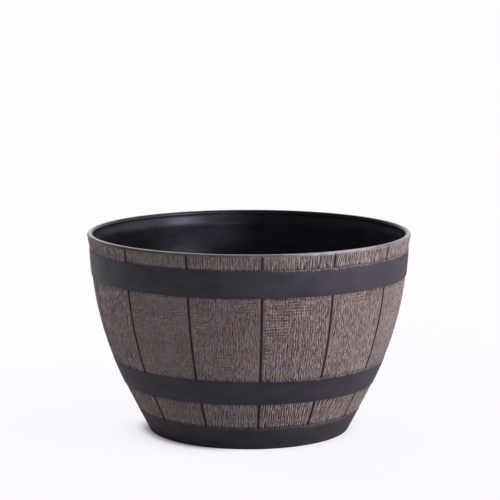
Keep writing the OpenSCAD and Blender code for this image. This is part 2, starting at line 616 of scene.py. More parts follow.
@dataclass(frozen=True)
class Charcoal:
    """Satin charcoal resin, faintly mottled and with fine pores; its top edge may carry wood-tone tips.

    Streaks is how strong the lines drawn up the wall by the mould are. Blur is how wide the paint's edge is
    in metres, and cover how dense the paint is there.
    """

    name: str
    deep: Colour = srgb(45, 41, 50)
    light: Colour = srgb(57, 53, 63)
    scuff: Colour = srgb(84, 80, 90)
    tint: Colour = (0.90, 0.84, 1.0)
    rough: float = 0.47
    shine: float = 0.6
    streaks: float = 0.0
    tips: bool = False
    blur: float = 0.5 * MM
    cover: float = 0.9

    def material(self) -> Finish:
        """Build the material.

        With tips, it reads the attribute trim: the depth below a painted edge in metres, or -1 where there is
        none. The paint ends where that depth passes a reach that streaky noise gives, longer on the right.

        Returns:
            The material.
        """
        graph = Graph(bpy.data.materials.new(self.name))
        place = graph.place()
        cloud = graph.noise(place, (26, 26, 12), detail=3)
        pore = graph.noise(place, (0.7, 0.7, 0.7), detail=2, rough=0.6)
        scratch = graph.noise(place, (11, 11, 0.7), detail=2, bend=0.6)
        marks = scratch.rise(0.64, 0.80) * cloud.rise(0.50, 0.64)
        colour = graph.mix(cloud.rise(0.3, 0.7), self.deep, self.light)
        colour = graph.mix(marks * 0.2, colour, self.scuff)
        rough = self.rough + (cloud - 0.5) * 0.12 + marks * 0.1 + (pore - 0.5) * 0.1
        height = pore * 0.06
        if self.streaks:
            drawn = graph.noise(place, (7, 7, 60), detail=3, rough=0.6)
            rough = rough + (drawn - 0.5) * self.streaks
            height = height + drawn * self.streaks * 0.12
        if self.tips:
            _, (depth, _, _) = graph.attribute("trim")
            streak = graph.noise(place, (1.7, 1.7, 6), detail=2, rough=0.6)
            patch = graph.noise(place, (13, 13, 40), detail=2)
            side, _, _ = graph.parts(place)
            reach = (streak - 0.65) * (7 * MM) + (patch - 0.5) * (5 * MM)
            reach = reach + side.rise(-20 * MM, 70 * MM) * (2.6 * MM) + self.blur / 2
            near = (depth + 1.0).rise(0.990, 0.996)
            painted = (reach - depth).rise(-0.6 * self.blur, self.blur) * near
            tone = 0.46 + (streak - 0.5) * 1.5
            colour = graph.mix(painted * self.cover, colour, WoodTone().colour(graph, place, tone))
            rough = rough + painted * 0.18
            height = height + painted * streak * 0.3
        return graph.surface(colour, rough, graph.bump(height, 1.0), self.shine, self.tint)


@dataclass(frozen=True)
class LipPaint:
    """The wood tone where it wraps over the lip: smooth and pale on the outside, its crown paler still as a
    painted highlight; inside, bare resin darkened as painted shade.
    """

    dark: Colour = srgb(70, 60, 60)
    middle: Colour = srgb(136, 124, 123)
    pale: Colour = srgb(236, 229, 229)
    # Bare resin inside the lip, darker than the hoops' charcoal: painted shade for the inside.
    resin: Colour = srgb(30, 27, 33)
    shadow: Colour = srgb(44, 34, 34)
    shine: float = 0.6

    def material(self) -> Finish:
        """Build the material.

        It reads the attribute lip: nearness of the crown, share of paint and nearness of a groove, 0 to 1.
        The crown is paler than the outside below it, a painted highlight on the upward round, and less so on
        the right, where the outside is painted lighter as painted light from that side.

        Returns:
            The material.
        """
        graph = Graph(bpy.data.materials.new("lip_paint"))
        _, (crown, paint, groove) = graph.attribute("lip")
        place = graph.place()
        blotch = graph.noise(place, (16, 16, 8), detail=3)
        fleck = graph.noise(place, (1.5, 1.5, 4), detail=3, rough=0.6)
        side, _, _ = graph.parts(place)
        right = side.rise(-200 * MM, 100 * MM)
        # Painted light: the crown lighter than the outside below it, and the outside lighter on the right.
        tone = crown * (1.04 - right * 0.30) + (1 - crown) * (0.17 + right * 0.22)
        tone = tone + (blotch - 0.5) * 0.4 + (fleck - 0.5) * 0.5
        colour = graph.ramp(tone, [(0.1, self.dark), (0.5, self.middle), (0.95, self.pale)])
        colour = graph.mix(groove, colour, self.shadow)
        covered = (paint + (fleck - 0.5) * 0.3).rise(0.38, 0.60)
        colour = graph.mix(covered, self.resin, colour)
        return graph.surface(colour, 0.30 + (fleck - 0.5) * 0.2, graph.bump(fleck, 0.06), self.shine)


@dataclass(frozen=True)
class Rubber:
    """Matt black rubber with a dusty bloom and fine pores."""

    black: Colour = srgb(30, 29, 32)
    bloom: Colour = srgb(54, 53, 56)
    shine: float = 0.4

    def material(self) -> Finish:
        """Build the material.

        Returns:
            The material.
        """
        graph = Graph(bpy.data.materials.new("plug_rubber"))
        place = graph.place()
        dust = graph.noise(place, (6, 6, 4), detail=3)
        pore = graph.noise(place, (0.5, 0.5, 0.5), detail=2, rough=0.6)
        colour = graph.mix(dust.rise(0.42, 0.70), self.black, self.bloom)
        return graph.surface(colour, 0.70 + (dust - 0.5) * 0.25, graph.bump(pore, 0.04), self.shine)


# The planter


@dataclass(frozen=True)
class Bands:
    """Heights of the lip, hoops and base band, and how far they stand out from the staves.

    The staves lie inside the wall's curve by edge above a band and by step below one, and groove is how deep
    the grooves between them are. Lead is how far below the base band's top the inset is back at step.
    """

    height: float
    lip_w: float = 6.5 * MM
    top_strip_h: float = 15.6 * MM
    upper_h: float = 32.5 * MM
    lower_z: float = 60.5 * MM
    lower_h: float = 30.2 * MM
    base_h: float = 28.3 * MM
    step: float = 0.9 * MM
    edge: float = 0.35 * MM
    groove: float = 1.2 * MM
    lead: float = 4 * MM

    @property
    def lip_z(self) -> float:
        """Height of the centre of the lip's round."""
        return self.height - self.lip_w / 2

    @property
    def upper_top(self) -> float:
        """Height of the upper hoop's top edge."""
        return self.lip_z - self.top_strip_h

    @property
    def upper_z(self) -> float:
        """Height of the upper hoop's bottom edge."""
        return self.upper_top - self.upper_h

    @property
    def lower_top(self) -> float:
        """Height of the lower hoop's top edge."""
        return self.lower_z + self.lower_h

    @property
    def strips(self) -> tuple[Pair, ...]:
        """Lower and upper height of each strip of staves."""
        return (self.base_h, self.lower_z), (self.lower_top, self.upper_z), (self.upper_top, self.lip_z)

    def inset(self, z: np.ndarray) -> np.ndarray:
        """How far the staves lie inside the wall's curve.

        In the two lower strips it grows with the square of the height, from edge at the foot to step under
        the hoop above. Behind a hoop it runs straight from edge at the hoop's top to step at its bottom. In
        the top strip it stays at edge.

        Args:
            z: heights.

        Returns:
            The inset at each height.
        """
        (base, low_end), (mid, mid_end), (top, _) = self.strips
        knots = [base - self.lead, base, low_end, mid, mid_end, top, self.height]
        depth = [self.step, self.edge, self.step, self.edge, self.step, self.edge, self.edge]
        inset = np.interp(z, knots, depth)
        for low, high in self.strips[:2]:
            curved = self.edge + (self.step - self.edge) * np.clip((z - low) / (high - low), 0, 1) ** 2
            inset = np.where((z >= low) & (z <= high), curved, inset)
        return inset


@dataclass(frozen=True)
class Wall:
    """The bowed wall from the side: a straight foot, an arc that ends upright, and a flare under the lip."""

    rim_r: float
    bands: Bands
    flare: float = 2 * MM
    bow_r: float = 412 * MM
    belly_drop: float = 3.5 * MM
    bow_low_z: float = 50 * MM
    thick: float = 5 * MM

    @property
    def slope(self) -> float:
        """Outward lean of the straight foot, as radius over height."""
        rise = self.bands.height - self.belly_drop - self.bow_low_z
        return rise / math.sqrt(self.bow_r**2 - rise**2)

    @property
    def lean(self) -> float:
        """The same lean in degrees."""
        return math.degrees(math.atan(self.slope))

    def outer(self, z: np.ndarray | float) -> np.ndarray:
        """Radius of the outside.

        It is the rim's radius less the flare and the arc's fall-off, sloped straight below bow_low_z. Above
        the upper hoop the flare comes back along half a wave of 1 - cos.

        Args:
            z: heights.

        Returns:
            The radius at each height.
        """
        z = np.asarray(z, float)
        fall = self.bands.height - self.belly_drop - np.maximum(z, self.bow_low_z)
        bow = self.rim_r - self.flare - self.bow_r + np.sqrt(self.bow_r**2 - fall**2)
        share = np.clip((z - self.bands.upper_top) / self.bands.top_strip_h, 0, 1)
        flare = self.flare / 2 * (1 - np.cos(share * math.pi))
        return bow + flare - self.slope * np.maximum(self.bow_low_z - z, 0)

    def inner(self, z: np.ndarray | float) -> np.ndarray:
        """Radius of the inside."""
        return self.outer(z) - self.thick

    def corner(self, wall_r: float, z: float, r: float) -> Pair:
        """Centre of a corner of radius r between the level z and the straight foot, wall_r wide there."""
        return wall_r + self.slope * r - r * math.hypot(1, self.slope), z + r


class Cut(enum.Enum):
    """How the board that a stave imitates was cut.

    Rift is straight grain, sawn is straight grain crossed by saw marks, and rippled leans to and fro. Each
    holds how far its grain lines wander in millimetres, and the value of a slow noise from which on saw marks
    cross it.
    """

    RIFT = (0.45, 0.15)
    SAWN = (0.4, -0.35)
    RIPPLED = (1.4, 0.3)


@dataclass
class Staves:
    """The ring of moulded staves, one closed slab each, with its grain in relief.

    In millimetres, line_w and saw_w are the spacing of the grain's lines and saw marks, grain_w and grain_l
    the size of its dashes, and grain_d its depth. It is set skin below the face, and calm is the share of it
    that plain grain lacks. A stave's two sides wander by wander over stretches of wander_l. Its strips reach
    by under and over behind the bands next to them, and its back lies key deeper than the groove floors.
    Faint lists staves with plainer grain, and how plain.
    """

    wall: Wall
    bands: Bands
    count: int = 14
    turn: float = 4.4
    groove_w: float = 2.2 * MM
    edge_round: float = 1.0 * MM
    wander: float = 0.22 * MM
    wander_l: float = 13 * MM
    under: float = 2 * MM
    over: float = 0.8 * MM
    key: float = 0.8 * MM
    skin: float = 0.12 * MM
    line_w: float = 2.8
    saw_w: float = 3.6
    grain_w: float = 1.35
    grain_l: float = 4.2
    grain_d: float = 0.22
    calm: float = 0.7
    across: int = 140
    row_h: float = 0.6 * MM
    seed: int = 11
    cuts: tuple[Cut, ...] = (
        Cut.SAWN, Cut.RIPPLED, Cut.RIFT, Cut.RIPPLED, Cut.SAWN, Cut.RIFT, Cut.RIPPLED,
        Cut.RIFT, Cut.SAWN, Cut.RIPPLED, Cut.SAWN, Cut.RIPPLED, Cut.SAWN, Cut.RIFT,
    )
    faint: tuple[tuple[int, float], ...] = ((5, 0.4), (8, 0.5), (12, 0.5), (13, 0.3))

    @property
    def pitch(self) -> float:
        """Angle from one groove to the next."""
        return 2 * math.pi / self.count

    def sawn(self, s: np.ndarray, v: np.ndarray, index: int) -> np.ndarray:
        """Share of saw marks: slow noise, more up the wall, of which a sawn board lets more through.

        Args:
            s, v: place across and along the stave in millimetres.
            index: the stave's number.

        Returns:
            The share, from 0 to 1.
        """
        slow = lattice_noise(s / 26, v / 34, self.seed + 90 + index) + (v - 130) / 200
        _, low = self.cuts[index].value
        return smooth_step(low, low + 0.6, slow)

    def relief(self, s: np.ndarray, v: np.ndarray, straight: np.ndarray, index: int) -> np.ndarray:
        """Height of the grain.

        Lines are a cosine of the place across, which wanders with noise, so they lean, part and meet. Dashes
        are noise in cells longer than wide, less the noise of the next cell, which leaves no slow swell. Saw
        marks are a cosine of the place along, bent in the same way.

        Args:
            s, v: place across and along the stave in millimetres.
            straight: share of plain upright grain, from 0 to 1.
            index: the stave's number.

        Returns:
            The height, from about -1 to 1.
        """
        seed = self.seed + 100 * index

        def noise(across: float, along: float, number: int) -> np.ndarray:
            """Noise in cells of the given size in millimetres."""
            return lattice_noise(s / across, v / along, seed + number)

        lean, _ = self.cuts[index].value
        x = s + lean * (1 - 0.3 * straight) * noise(6, 9, 0) + 1.8 * noise(30, 60, 1)
        y = v + 0.5 * noise(14, 9, 2) + 1.5 * noise(50, 60, 3)
        lines = np.cos(2 * math.pi * x / self.line_w) * (0.7 + 0.6 * noise(5, 8, 4))
        cell_x, cell_v = x / self.grain_w, v / (self.grain_l * (1 + straight))
        dashes = lattice_noise(cell_x, cell_v, seed + 5) - lattice_noise(cell_x + 1, cell_v, seed + 5)
        saw = np.cos(2 * math.pi * y / self.saw_w) * (0.6 + 0.8 * noise(5, 5, 6))
        sawn = self.sawn(s, v, index) * (1 - straight)
        return ((0.5 * lines + 0.4 * dashes) * (1 - 0.25 * sawn) + 0.34 * saw * sawn) * (1 + 0.3 * straight)

    def slab(self, index: int) -> Piece:
        """Build one stave as a closed slab with its attributes.

        Its rings climb the wall. Each runs from the left groove over the rounded edge, across the face, down
        the right edge and back behind the face; a place s across lies at the angle s over the radius.

        Args:
            index: the stave's number, counted from the first groove.

        Returns:
            The stave.
        """
        bands, seed = self.bands, self.seed + 50 + index
        spans = [(low - self.under, high + self.over) for low, high in bands.strips]
        z = np.concatenate([run((0, low), (0, high), self.row_h)[:, 1] for low, high in spans])
        radius = self.wall.outer(z) - bands.inset(z)
        along = np.concatenate([[0], np.cumsum(np.hypot(np.diff(radius), np.diff(z)))])[:, None]
        radius = radius[:, None]
        half = radius * self.pitch / 2 - self.groove_w / 2
        left = -half + self.wander * lattice_noise(along / self.wander_l, 0.5, seed)
        right = half + self.wander * lattice_noise(along / self.wander_l, 7.5, seed)

        rim = np.array([0, 0.12, 0.3, 0.55, 0.8, 1.0]) * self.edge_round
        face = left + rim[-1] + (right - left - 2 * rim[-1]) * np.linspace(0, 1, self.across)
        s = np.hstack([left + rim[:-1], face, right - rim[-2::-1]])
        from_edge = np.minimum(s - left, right - s)
        drop = 1 - np.sqrt(1 - np.clip(1 - from_edge / self.edge_round, 0, 1) ** 2)

        v = np.broadcast_to(along, s.shape)
        in_middle = smooth_step(bands.lower_top, bands.lower_top + 6 * MM, z) * (z < bands.upper_z)
        relief = self.relief(s / MM, v / MM, 1 - in_middle[:, None], index)
        border = 1 - smooth_step(1.0 * MM, 3.0 * MM, from_edge)
        border = np.maximum(border, dict(self.faint).get(index, 0.0))
        foot, shade_under_hoop = self.near_hoops(z)
        depth = self.grain_d * (1 - self.calm * border) * MM
        outer = radius - self.skin + depth * relief - drop * self.edge_round

        back_s = right - (right - left) * np.linspace(0, 1, 9)
        back_r = np.broadcast_to(radius - bands.groove - self.key, back_s.shape)
        loop_s, loop_r = np.hstack([s, back_s]), np.hstack([outer, back_r])
        angle = math.radians(self.turn - 90) + (index + 0.5) * self.pitch + loop_s / radius
        height = np.broadcast_to(z[:, None], loop_s.shape)
        rings = np.stack([loop_r * np.cos(angle), loop_r * np.sin(angle), height], axis=-1)
        made = make_piece(f"stave_{index + 1:02d}", *ring_stack(rings), sharp=70)

        def on_rings(*parts: np.ndarray | float) -> np.ndarray:
            """Lay three parts, given on the face, over the whole rings; behind the face they are 0."""
            full = [np.hstack([np.broadcast_to(part, s.shape), 0 * back_s]) for part in parts]
            return np.stack(full, axis=-1).reshape(-1, 3)

        number = np.full(loop_s.shape, 3.7 * (index + 1))
        grain = np.stack([loop_s, np.broadcast_to(along, loop_s.shape), number], axis=-1)
        sawn = self.sawn(s / MM, v / MM, index) * in_middle[:, None]
        set_attribute(made, "grain", grain.reshape(-1, 3))
        set_attribute(made, "wear", on_rings(relief * (1 - self.calm * border), border, foot))
        set_attribute(made, "trim", on_rings(sawn, np.clip(drop * 1.6, 0, 1), shade_under_hoop))
        return made

    def near_hoops(self, z: np.ndarray) -> tuple[np.ndarray, np.ndarray]:
        """Nearness of the hoop below and of the hoop above, each a bell curve of the distance to its edge.

        Args:
            z: heights.

        Returns:
            Both as columns from 0 to 1; the hoops' top edges count for less than the base band's. The second
            column marks where painted shade is laid under a hoop.
        """
        bands = self.bands
        foot, shade_under_hoop = np.zeros(len(z)), np.zeros(len(z))
        # Height of a top edge, its weight, and its reach in millimetres
        edges = (bands.base_h, 1.0, 3.8), (bands.lower_top, 0.7, 4.2), (bands.upper_top, 0.8, 2.6)
        for height, weight, reach in edges:
            foot = np.maximum(foot, weight * np.exp(-(((z - height) / (reach * MM)) ** 2)))
        # Painted shade under each hoop's bottom edge, a bell 3.2 mm wide.
        for height in (bands.lower_z, bands.upper_z):
            shade_under_hoop = np.maximum(shade_under_hoop, np.exp(-(((z - height) / (3.2 * MM)) ** 2)))
        return foot[:, None], shade_under_hoop[:, None]

    def build(self, paint: Finish) -> list[Piece]:
        """Build and dress every stave."""
        return [dress(self.slab(index), paint) for index in range(self.count)]


@dataclass
class Hoop:
    """A moulded hoop: its top edge nearly flush with the staves, its rounded bottom edge standing out.

    Bare is how much sooner than elsewhere the staves' paint ends on it. Ripple is the depth of the slow noise
    on its face, and sag how far its bottom edge wanders, fading out over sag_h. Cell is that noise's size.
    """

    name: str
    wall: Wall
    bands: Bands
    low: float
    high: float
    bare: float = 0.0
    low_round: float = 0.8 * MM
    top_round: float = 0.5 * MM
    ripple: float = 0.08 * MM
    sag: float = 0.2 * MM
    sag_h: float = 5 * MM
    cell: float = 11 * MM
    segments: int = 600
    seed: int = 31

    def build(self, resin: Finish) -> Piece:
        """Turn the hoop's outline and ripple it a little.

        The face's radius and the height of the bottom edge take slow noise.

        Args:
            resin: the hoop's material.

        Returns:
            The hoop.
        """
        wall, bands = self.wall, self.bands
        z = np.linspace(self.low + self.low_round, self.high - self.top_round, 26)
        face = np.column_stack([wall.outer(z), z])
        low_r, high_r = float(wall.outer(self.low)), float(wall.outer(self.high))
        inset = bands.step + bands.groove
        ledge = (high_r - bands.edge - bands.groove, self.high)
        outline = np.vstack([
            run((low_r - inset, self.low), (low_r - self.low_round, self.low), 0.8 * MM),
            arc((face[0, 0] - self.low_round, z[0]), self.low_round, -90, -8, 7),
            face,
            arc((face[-1, 0] - self.top_round, z[-1]), self.top_round, 8, 90, 5),
            run((high_r - self.top_round, self.high), ledge, 0.6 * MM),
            [(high_r - inset, self.high - 2 * MM)],
        ])
        made = turned(self.name, outline, self.segments)
        points = vertices(made)
        radius = np.hypot(points[:, 0], points[:, 1])
        across = points[:, 0] / self.cell, points[:, 1] / self.cell
        proud = smooth_step(-2.5 * MM, 0, radius - wall.outer(points[:, 2]))
        ripple = self.ripple * lattice_noise(*across, self.seed) * proud
        sag = self.sag * lattice_noise(*across, self.seed + 1)
        points[:, :2] *= (1 + ripple / radius)[:, None]
        points[:, 2] += sag * (1 - smooth_step(0, self.sag_h, points[:, 2] - self.low))
        move_vertices(made, points)
        trim_depth(made, self.high + self.bare)
        return dress(made, resin)


def trim_depth(piece: Piece, edge: float) -> None:
    """Store on each vertex how far it lies below a painted edge, or -1 where that is far off.

    Args:
        piece: the piece.
        edge: height of the painted edge.
    """
    below = edge - vertices(piece)[:, 2]
    depth = np.where((below > -0.5 * MM) & (below < 15 * MM), below, -1.0)
    set_attribute(piece, "trim", np.column_stack([depth, 0 * depth, 0 * depth]))


@dataclass
class Lip:
    """The rolled lip: a round crown on a bead that overhangs the inner wall a little.

    Notch and notch_w are how deep and how wide the grooves cut its outside. Worn is the stretch along X where
    the pale crown, a painted highlight from the lamps on the right, reaches further down the outside: where
    that starts, is full, begins to end and is gone.
    """

    wall: Wall
    bands: Bands
    staves: Staves
    face_h: float = 1 * MM
    bead_round: float = 0.8 * MM
    notch: float = 0.7 * MM
    notch_w: float = 0.9 * MM
    worn: tuple[float, float, float, float] = (30 * MM, 60 * MM, 130 * MM, 160 * MM)
    segments: int = 840

    def build(self, paint: Finish) -> Piece:
        """Turn the lip, notch it at the grooves and store where its crown, paint and notches are.

        The outline goes up the outside, round the half circle, down the inner face, out under the bead to
        the wall and back up inside the wall. A notch draws the outside in along a bell curve of the
        distance round the lip, and fades out up to the crown.

        Args:
            paint: the lip's material.

        Returns:
            The lip.
        """
        wall, bands = self.wall, self.bands
        r, rim, lip_z = bands.lip_w / 2, wall.rim_r, bands.lip_z
        bead_z, inside = lip_z - self.face_h, rim - bands.lip_w
        under = float(wall.inner(bead_z - MM))
        outline = np.vstack([
            [(rim - 1.6 * MM, lip_z - 0.5 * MM), (rim - 0.25 * MM, lip_z - 0.45 * MM)],
            arc((rim - r, lip_z), r, -4, 180, 30),
            run((inside, lip_z - 0.4 * MM), (inside, bead_z), 0.7 * MM),
            arc((inside + self.bead_round, bead_z), self.bead_round, 180, 250, 5),
            [(under + 0.6 * MM, bead_z - MM), (under + 1.6 * MM, lip_z - 2 * MM)],
        ])
        made = turned("lip", outline, self.segments, sharp=60)
        points = vertices(made)
        radius, angle = np.hypot(points[:, 0], points[:, 1]), np.arctan2(points[:, 1], points[:, 0])
        turn = (angle - math.radians(self.staves.turn - 90)) / self.staves.pitch
        from_groove = np.abs(turn - np.round(turn)) * self.staves.pitch * radius
        height = (points[:, 2] - lip_z) / r
        groove = np.exp(-((from_groove / self.notch_w) ** 2)) * smooth_step(rim - r, rim - 0.6 * r, radius)
        groove *= 1 - smooth_step(0.3, 0.95, height)
        points[:, :2] *= (1 - self.notch * groove / radius)[:, None]
        move_vertices(made, points)
        # Painted highlight, not wear: the pale crown reaches lower down the outside where the lamps on the
        # right light it.
        start, full, end, gone = self.worn
        worn = smooth_step(start, full, points[:, 0]) * (1 - smooth_step(end, gone, points[:, 0]))
        crown = (1 - smooth_step(-0.6, -0.25, (radius - rim) / r - 0.35 * worn)) * (height > 0)
        painted = smooth_step(rim - 1.6 * r, rim - 1.25 * r, radius) * smooth_step(-0.4, 0.0, height)
        set_attribute(made, "lip", np.column_stack([crown, painted, groove]))
        return dress(made, paint)


@dataclass
class Tub:
    """The moulding behind the staves: base band, foot ring, floor, smooth inner wall and drain holes."""

    wall: Wall
    bands: Bands
    foot_w: float = 5 * MM
    foot_round: float = 1.5 * MM
    heel_round: float = 0.6 * MM
    floor_z: float = 9 * MM
    floor_t: float = 4 * MM
    ring_fillet: float = 2 * MM
    fillet: float = 8 * MM
    drain_mid: float = 75 * MM
    drain_r: float = 8 * MM
    flange_w: float = 4.5 * MM
    channel_d: float = 1.5 * MM
    channel_gap: float = 1.5 * MM
    rib_z: float = 5 * MM
    rib_t: float = 2.4 * MM
    rib_n: int = 8
    hub_r: float = 15 * MM
    gate_r: float = 5 * MM
    gate_depth: float = 1.5 * MM
    collar_w: float = 4 * MM
    edge_round: float = 0.8 * MM
    sharp: float = 35.0
    segments: int = 360

    @property
    def floor_top(self) -> float:
        """Height of the floor's upper face."""
        return self.floor_z + self.floor_t

    @property
    def seat_z(self) -> float:
        """Height of the channel's bed, which the plugs sit on."""
        return self.floor_top - self.channel_d

    def channel(self, z: float) -> np.ndarray:
        """One face of the floor.

        Args:
            z: its height away from the channel.

        Returns:
            Its outline, from the centre outwards over the ring channel.
        """
        half, slope = self.drain_r + self.flange_w + self.channel_gap, 2 * self.channel_d
        near, far, bed = self.drain_mid - half, self.drain_mid + half, z - self.channel_d
        knots = [(0, z), (near - slope, z), (near, bed), (far, bed), (far + slope, z)]
        return np.vstack([run(a, b, 4 * MM) for a, b in zip(knots, knots[1:])])

    def outline(self) -> np.ndarray:
        """The tub's outline: out along the underside, up the outside, down the inside, in along the floor.

        Returns:
            One row of (radius, height) a point.
        """
        wall, bands, heel, bend = self.wall, self.bands, self.heel_round, self.ring_fillet
        foot = float(wall.outer(0))
        ring = foot - self.foot_w
        band_z = np.linspace(2 * self.foot_round, bands.base_h - 0.5 * MM, 22)
        core_z = np.linspace(bands.base_h, bands.lip_z - 1 * MM, 60)
        core = wall.outer(core_z) - bands.inset(core_z) - bands.groove
        inner_z = np.linspace(bands.lip_z - 2.5 * MM, self.floor_top + self.fillet, 90)
        base = float(wall.inner(self.floor_top))
        return np.vstack([
            self.channel(self.floor_z),
            run((ring - 3 * MM, self.floor_z), (ring - bend, self.floor_z), 1 * MM),
            arc((ring - bend, self.floor_z - bend), bend, 90, 0),
            run((ring, self.floor_z - bend), (ring, heel), 2 * MM),
            arc((ring + heel, heel), heel, 180, 270, 4),
            arc(wall.corner(foot, 0, self.foot_round), self.foot_round, -90, -wall.lean),
            np.column_stack([wall.outer(band_z), band_z]),
            [(float(wall.outer(bands.base_h)) - bands.edge, bands.base_h)],
            np.column_stack([core, core_z]),
            [(float(wall.outer(bands.lip_z)) - 3 * MM, bands.lip_z)],
            [(float(wall.inner(bands.lip_z - 2 * MM)), bands.lip_z - 1 * MM)],
            np.column_stack([wall.inner(inner_z), inner_z]),
            arc(wall.corner(base, self.floor_top, self.fillet), self.fillet, -wall.lean, -90, 12),
            self.channel(self.floor_top)[::-1],
        ])

    def build(self, resin: Finish, groove_paint_and_fill_light: Finish, shaded_inner_resin: Finish) -> list[Piece]:
        """Build the tub with its drilled drain holes, and the stiffening under its floor.

        A face that looks outwards above the base band is a groove floor. One that doesn't, and lies above the
        plugs' seat, belongs to the inside.

        Args:
            resin: material of the base band and the underside.
            groove_paint_and_fill_light: material of the groove floors behind the staves, lighter than the
                paint as painted fill light.
            shaded_inner_resin: material of the inner wall, the floor's upper face and the ribs; the charcoal
                resin darkened as painted shade.

        Returns:
            The two pieces.
        """
        tub = turned("tub", self.outline(), self.segments, sharp=self.sharp)
        self.drill(tub)
        tub.data.materials.clear()
        tub.data.set_sharp_from_angle(angle=math.radians(self.sharp))
        trim_depth(tub, self.bands.base_h)
        centre, normal = (read(tub.data.polygons, key, 3, np.float32) for key in ("center", "normal"))
        outwards = (centre[:, :2] * normal[:, :2]).sum(axis=1) > 0.05 * np.hypot(centre[:, 0], centre[:, 1])
        painted = outwards & (centre[:, 2] > self.bands.base_h - 0.2 * MM)
        inside = ~outwards & (centre[:, 2] > self.seat_z - 0.1 * MM)
        tub.data.polygons.foreach_set("material_index", (painted + 2 * inside).astype(np.int32))
        under = self.stiffening()
        return [dress(tub, resin, groove_paint_and_fill_light, shaded_inner_resin), dress(under, shaded_inner_resin)]

    @staticmethod
    def at_drains(name: str, outline: np.ndarray, segments: int) -> list[Piece]:
        """Turn an outline once for each drain hole, round the hole's own axis.

        Args:
            name, outline, segments: see turned.

        Returns:
            The turned pieces.
        """
        made = [turned(name, outline, segments) for _ in PLUG_NODES]
        for piece, node in zip(made, PLUG_NODES):
            piece.data.transform(Matrix.Translation((*middle_of(node), 0)))
        return made

    def drill(self, tub: Piece) -> None:
        """Cut the drain holes out of the floor with upright cylinders, and keep the result as the mesh.

        Args:
            tub: the solid tub.
        """
        low, high = self.rib_z, self.floor_top + 5 * MM
        outline = np.array([(0, low), (self.drain_r, low), (self.drain_r, high), (0, high)])
        cutter = joined("drills", self.at_drains("drill", outline, 96))
        cut = tub.modifiers.new("drains", "BOOLEAN")
        cut.operation, cut.solver, cut.object = "DIFFERENCE", "EXACT", cutter
        mesh = bpy.data.meshes.new_from_object(tub.evaluated_get(bpy.context.evaluated_depsgraph_get()))
        mesh.name = tub.name
        tub.modifiers.clear()
        tub.data = mesh
        bpy.data.objects.remove(cutter)

    def stiffening(self) -> Piece:
        """Ribs, centre boss and hole collars under the floor, as closed solids in one mesh.

        A collar is a turned ring, and the boss a turned disc with a dimple; their lower edges are rounded.

        Returns:
            The piece.
        """
        reach = float(self.wall.outer(0)) - self.foot_w + MM
        parts = [self.rib(reach, math.radians((k + 0.5) * 360 / self.rib_n)) for k in range(self.rib_n)]
        r, gate, small = self.edge_round, self.gate_r, 0.3 * MM
        low, high = self.rib_z - 0.5 * MM, self.floor_z + MM
        dimple = low + self.gate_depth
        boss = np.vstack([
            [(0, dimple), (gate - small, dimple), (gate, dimple - small)],
            [(gate, low + small), (gate + small, low)],
            arc((self.hub_r - r, low + r), r, -90, 0, 6),
            [(self.hub_r, high), (0, high)],
        ])
        parts.append(turned("boss", boss, 72))
        low, high, outside = self.rib_z + 0.5 * MM, self.seat_z - MM, self.drain_r + self.collar_w
        collar = np.vstack([
            [(self.drain_r, low + small), (self.drain_r + small, low)],
            arc((outside - r, low + r), r, -90, 0, 6),
            [(outside, high), (self.drain_r, high)],
        ])
        return joined("floor_ribs", parts + self.at_drains("collar", collar, 72))

    def rib(self, reach: float, angle: float) -> Piece:
        """One rib, a plate whose lower corners are cut off at 45 degrees.

        Args:
            reach: radius of its outer end; the inner end lies in the boss.
            angle: its direction.

        Returns:
            The rib.
        """
        half, cut, low, high = self.rib_t / 2, 0.5 * MM, self.rib_z, self.floor_z + 0.5 * MM
        side = np.array([half, half, half - cut, cut - half, -half, -half])
        height = np.array([high, low + cut, low, low, low + cut, high])
        along = np.linspace(self.hub_r - 2 * MM, reach, 24)[:, None]
        cos, sin = math.cos(angle), math.sin(angle)
        x, y = along * cos - side * sin, along * sin + side * cos
        rings = np.stack([x, y, np.broadcast_to(height, x.shape)], axis=-1)
        return make_piece("rib", *ring_stack(rings[:, ::-1]))


